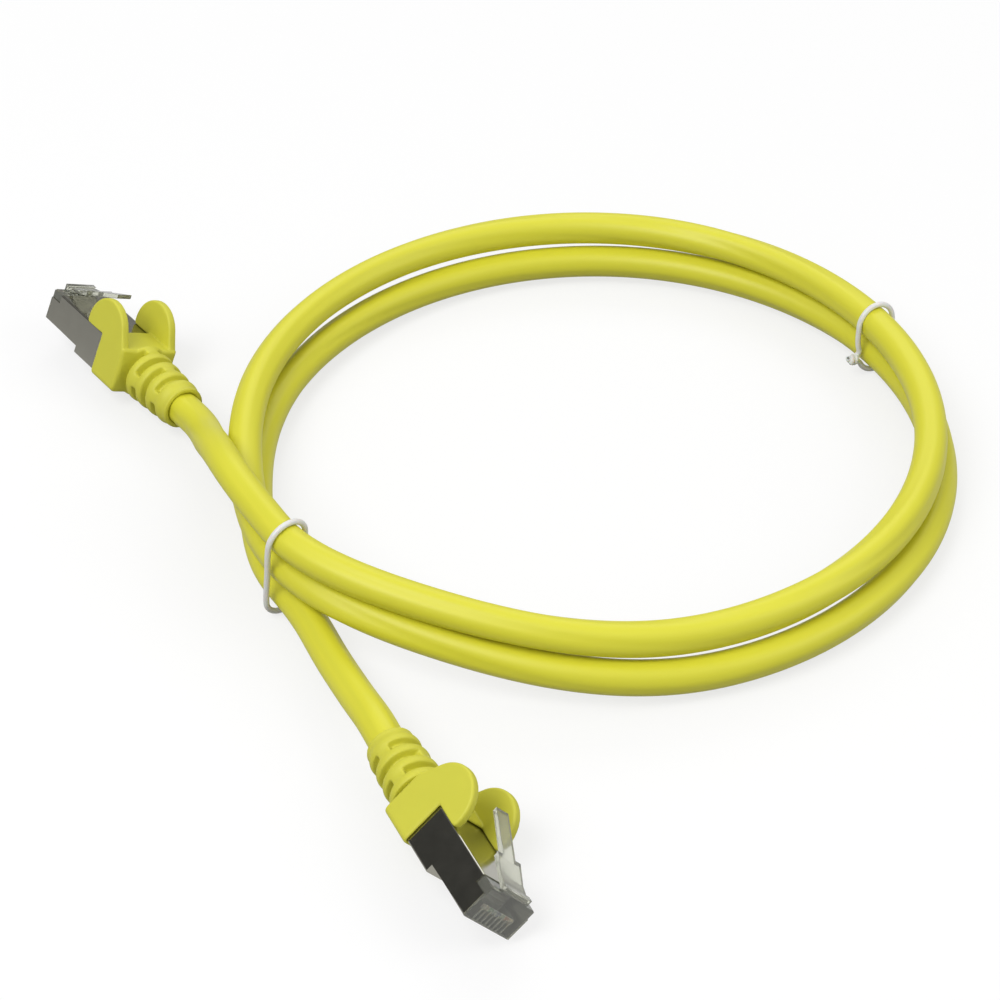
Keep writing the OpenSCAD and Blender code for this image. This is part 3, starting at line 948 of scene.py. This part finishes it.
def folded_shield(side, radius):
    """Replaces a shield with a merged copy whose long outer edges are bends of that radius."""
    node = frame["nodes"][f"shield_{side}"]
    data = node.data.copy()
    data.transform(node.matrix_world)
    piece = bpy.data.objects.new(f"shield_{side}_folded", data)
    bpy.context.scene.collection.objects.link(piece)
    axes, origin = plug_frame(side)
    half = settings().plug_sizes.width / 2
    work = bmesh.new()
    work.from_mesh(data)
    bmesh.ops.remove_doubles(work, verts=work.verts, dist=1e-6)
    bmesh.ops.dissolve_limit(work, angle_limit=math.radians(1), verts=work.verts, edges=work.edges)
    bends = []
    for edge in work.edges:
        ends = (np.array([vertex.co for vertex in edge.verts]) - origin) @ axes.T
        run = np.abs(ends[1] - ends[0])
        outside = np.all(np.abs(np.abs(ends[:, 1]) - half) < 0.02 * MM)
        if run[0] > 3 * MM and run[1:].max() < 0.05 * MM and outside and edge.calc_face_angle(0) > 0.7:
            bends.append(edge)
    if not bends:
        raise RuntimeError(f"shield_{side} has no outer edges to bend")
    bmesh.ops.bevel(
        work, geom=bends, offset=radius, segments=3, profile=0.5, affect="EDGES", clamp_overlap=False
    )
    work.to_mesh(data)
    work.free()
    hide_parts(f"shield_{side}")
    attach(piece, "cable")


def soften_edges(node, radius):
    """Rounds a CAD node's sharp edges by radius, once its triangles are welded and its flat faces whole."""
    piece = frame["nodes"][node]
    weld = piece.modifiers.new("weld", "WELD")
    weld.merge_threshold = 1e-6
    flat = piece.modifiers.new("whole faces", "DECIMATE")
    flat.decimate_type = "DISSOLVE"
    flat.angle_limit = math.radians(1)
    bevel = piece.modifiers.new("round edges", "BEVEL")
    bevel.width = radius
    bevel.segments = 2
    bevel.limit_method = "ANGLE"
    bevel.angle_limit = math.radians(40)
    bevel.use_clamp_overlap = True
    bevel.harden_normals = True


class PATCH_OT_cord(bpy.types.Operator):
    bl_idname = "patch.cord"
    bl_label = "Cord"

    def execute(self, context):
        path = cable_route()
        names = ["housing_b", "latch_b", "load_bar_b", "braid_b", "boot_b_moulded", "shield_b_folded"]
        names += [f"{kind}_b{i}" for kind in ("contact", "conductor") for i in WIRES]
        tuple(at_plug("a", [0, 0, 0]))
        return {"FINISHED"}


class PATCH_OT_stage(bpy.types.Operator):
    """Set the pale floor and the soft studio light"""

    bl_idname = "patch.stage"
    bl_label = "Stage"

    def execute(self, context):
        size = 6.0
        bpy.ops.mesh.primitive_plane_add(size=size, location=(0, 0, 0))
        floor = context.active_object
        floor.name = "floor"
        material, tree, shader = new_material("pale_floor")
        tree.nodes.remove(shader)
        matt = add_node(tree, "ShaderNodeBsdfDiffuse", {"Color": linear("#F4F4F4")})
        path = add_node(tree, "ShaderNodeLightPath")
        seen = add_node(
            tree,
            "ShaderNodeMath",
            {},
            {0: path.outputs["Is Camera Ray"], 1: path.outputs["Is Transmission Ray"]},
            operation="MAXIMUM",
        )
        # The metal sees a floor that falls off in tone to the left, as a lit sweep does
        coords = add_node(tree, "ShaderNodeTexCoord")
        place = add_node(tree, "ShaderNodeSeparateXYZ", {}, {"Vector": coords.outputs["Object"]})
        fall = add_node(
            tree,
            "ShaderNodeMapRange",
            {"From Min": -0.16, "From Max": 0.0, "To Min": 0.19, "To Max": 0.72},
            {"Value": place.outputs["X"]},
        )
        mirrored = add_node(
            tree,
            "ShaderNodeMath",
            {},
            {0: path.outputs["Is Glossy Ray"], 1: fall.outputs["Result"], 2: seen.outputs["Value"]},
            operation="MULTIPLY_ADD",
        )
        white = {"Color": (1, 1, 1, 1)}
        glow = add_node(tree, "ShaderNodeEmission", white, {"Strength": mirrored.outputs["Value"]})
        shaders = {1: matt.outputs["BSDF"], 2: glow.outputs["Emission"]}
        both = add_node(tree, "ShaderNodeMixShader", {0: 0.72}, shaders)
        tree.links.new(both.outputs["Shader"], tree.nodes["Material Output"].inputs["Surface"])
        floor.data.materials.append(material)

        world = bpy.data.worlds.new("studio")
        world.use_nodes = True
        context.scene.world = world
        world_tree = world.node_tree
        dim = world_tree.nodes["Background"]
        dim.inputs["Color"].default_value = (1, 1, 1, 1)
        # The room as the metal sees it: grey at the horizon, dark above it and bright overhead
        way = add_node(world_tree, "ShaderNodeTexCoord")
        height = add_node(world_tree, "ShaderNodeSeparateXYZ", {}, {"Vector": way.outputs["Generated"]})
        room = add_node(world_tree, "ShaderNodeValToRGB", {}, {"Fac": height.outputs["Z"]})
        stops = room.color_ramp.elements
        stops[0].position, stops[1].position = 0.1, 0.9
        for stop, tone in ((stops[0], 0.32), (stops.new(0.3), 0.06), (stops.new(0.6), 0.1), (stops[-1], 0.8)):
            stop.color = (tone, tone, tone, 1)
        rays = add_node(world_tree, "ShaderNodeLightPath")
        strength = add_node(
            world_tree,
            "ShaderNodeMix",
            {2: 0.5},
            {0: rays.outputs["Is Glossy Ray"], 3: room.outputs["Color"]},
        )
        world_tree.links.new(strength.outputs[0], dim.inputs["Strength"])
        bright = add_node(world_tree, "ShaderNodeBackground", {"Color": (1, 1, 1, 1), "Strength": 1.0})
        clear = add_node(
            world_tree,
            "ShaderNodeMath",
            {},
            {0: rays.outputs["Is Camera Ray"], 1: rays.outputs["Is Transmission Ray"]},
            operation="MAXIMUM",
        )
        mix = add_node(
            world_tree,
            "ShaderNodeMixShader",
            {},
            {0: clear.outputs["Value"], 1: dim.outputs["Background"], 2: bright.outputs["Background"]},
        )
        world_tree.links.new(mix.outputs["Shader"], world_tree.nodes["World Output"].inputs["Surface"])

        # A large key box over the front left, a fill on the right and a strip behind
        for name, place, aim, width, height, power in (
            ("key", (-0.5, -0.5, 1.0), (0, 0.03, 0), 0.7, 0.7, 8.5),
            ("fill", (0.9, -0.2, 0.7), (0, 0.03, 0), 0.7, 0.7, 2.5),
            ("strip", (0.1, 0.9, 0.8), (0, 0.03, 0), 1.0, 0.4, 2.5),
        ):
            data = bpy.data.lights.new(name, "AREA")
            data.shape = "RECTANGLE"
            data.size, data.size_y = width, height
            data.energy = power
            lamp = bpy.data.objects.new(name, data)
            lamp.location = place
            towards = Vector(aim) - Vector(place)
            lamp.rotation_euler = towards.to_track_quat("-Z", "Y").to_euler()
            context.scene.collection.objects.link(lamp)
        context.scene.view_settings.view_transform = "Standard"
        return {"FINISHED"}


# ---- Panel and registration ----

GROUPS = {
    "cable_sizes": CableSizes,
    "boot_sizes": BootSizes,
    "plug_sizes": PlugSizes,
    "tie_sizes": TieSizes,
    "colours": Colours,
}
OPERATORS = (
    PATCH_OT_camera,
    PATCH_OT_cable,
    PATCH_OT_ties,
    PATCH_OT_boots,
    PATCH_OT_plugs,
    PATCH_OT_cord,
    PATCH_OT_stage,
)


class PATCH_PT_panel(bpy.types.Panel):
    """Lists the cable's sizes, colours and operators"""

    bl_idname = "PATCH_PT_panel"
    bl_label = "Patch Cable"
    bl_space_type = "VIEW_3D"
    bl_region_type = "UI"
    bl_category = "Patch Cable"

    def draw(self, context):
        for group, group_class in GROUPS.items():
            box = self.layout.box()
            box.label(text=group.replace("_", " ").capitalize())
            for key in group_class.__annotations__:
                box.prop(getattr(context.scene, group), key)
        for operator in OPERATORS:
            self.layout.operator(operator.bl_idname)


def register():
    """Registers the property groups, the operators and the panel."""
    for group, group_class in GROUPS.items():
        bpy.utils.register_class(group_class)
        setattr(bpy.types.Scene, group, bpy.props.PointerProperty(type=group_class))
    for entry in OPERATORS + (PATCH_PT_panel,):
        bpy.utils.register_class(entry)


def unregister():
    """Undoes register."""
    for entry in reversed(OPERATORS + (PATCH_PT_panel,)):
        bpy.utils.unregister_class(entry)
    for group, group_class in GROUPS.items():
        delattr(bpy.types.Scene, group)
        bpy.utils.unregister_class(group_class)


def main():
    register()
    bpy.ops.patch.camera()
    bpy.ops.patch.cable()
    bpy.ops.patch.ties()
    bpy.ops.patch.boots()
    bpy.ops.patch.plugs()
    bpy.ops.patch.cord()
    bpy.ops.patch.stage()


if __name__ == "__main__":
    main()
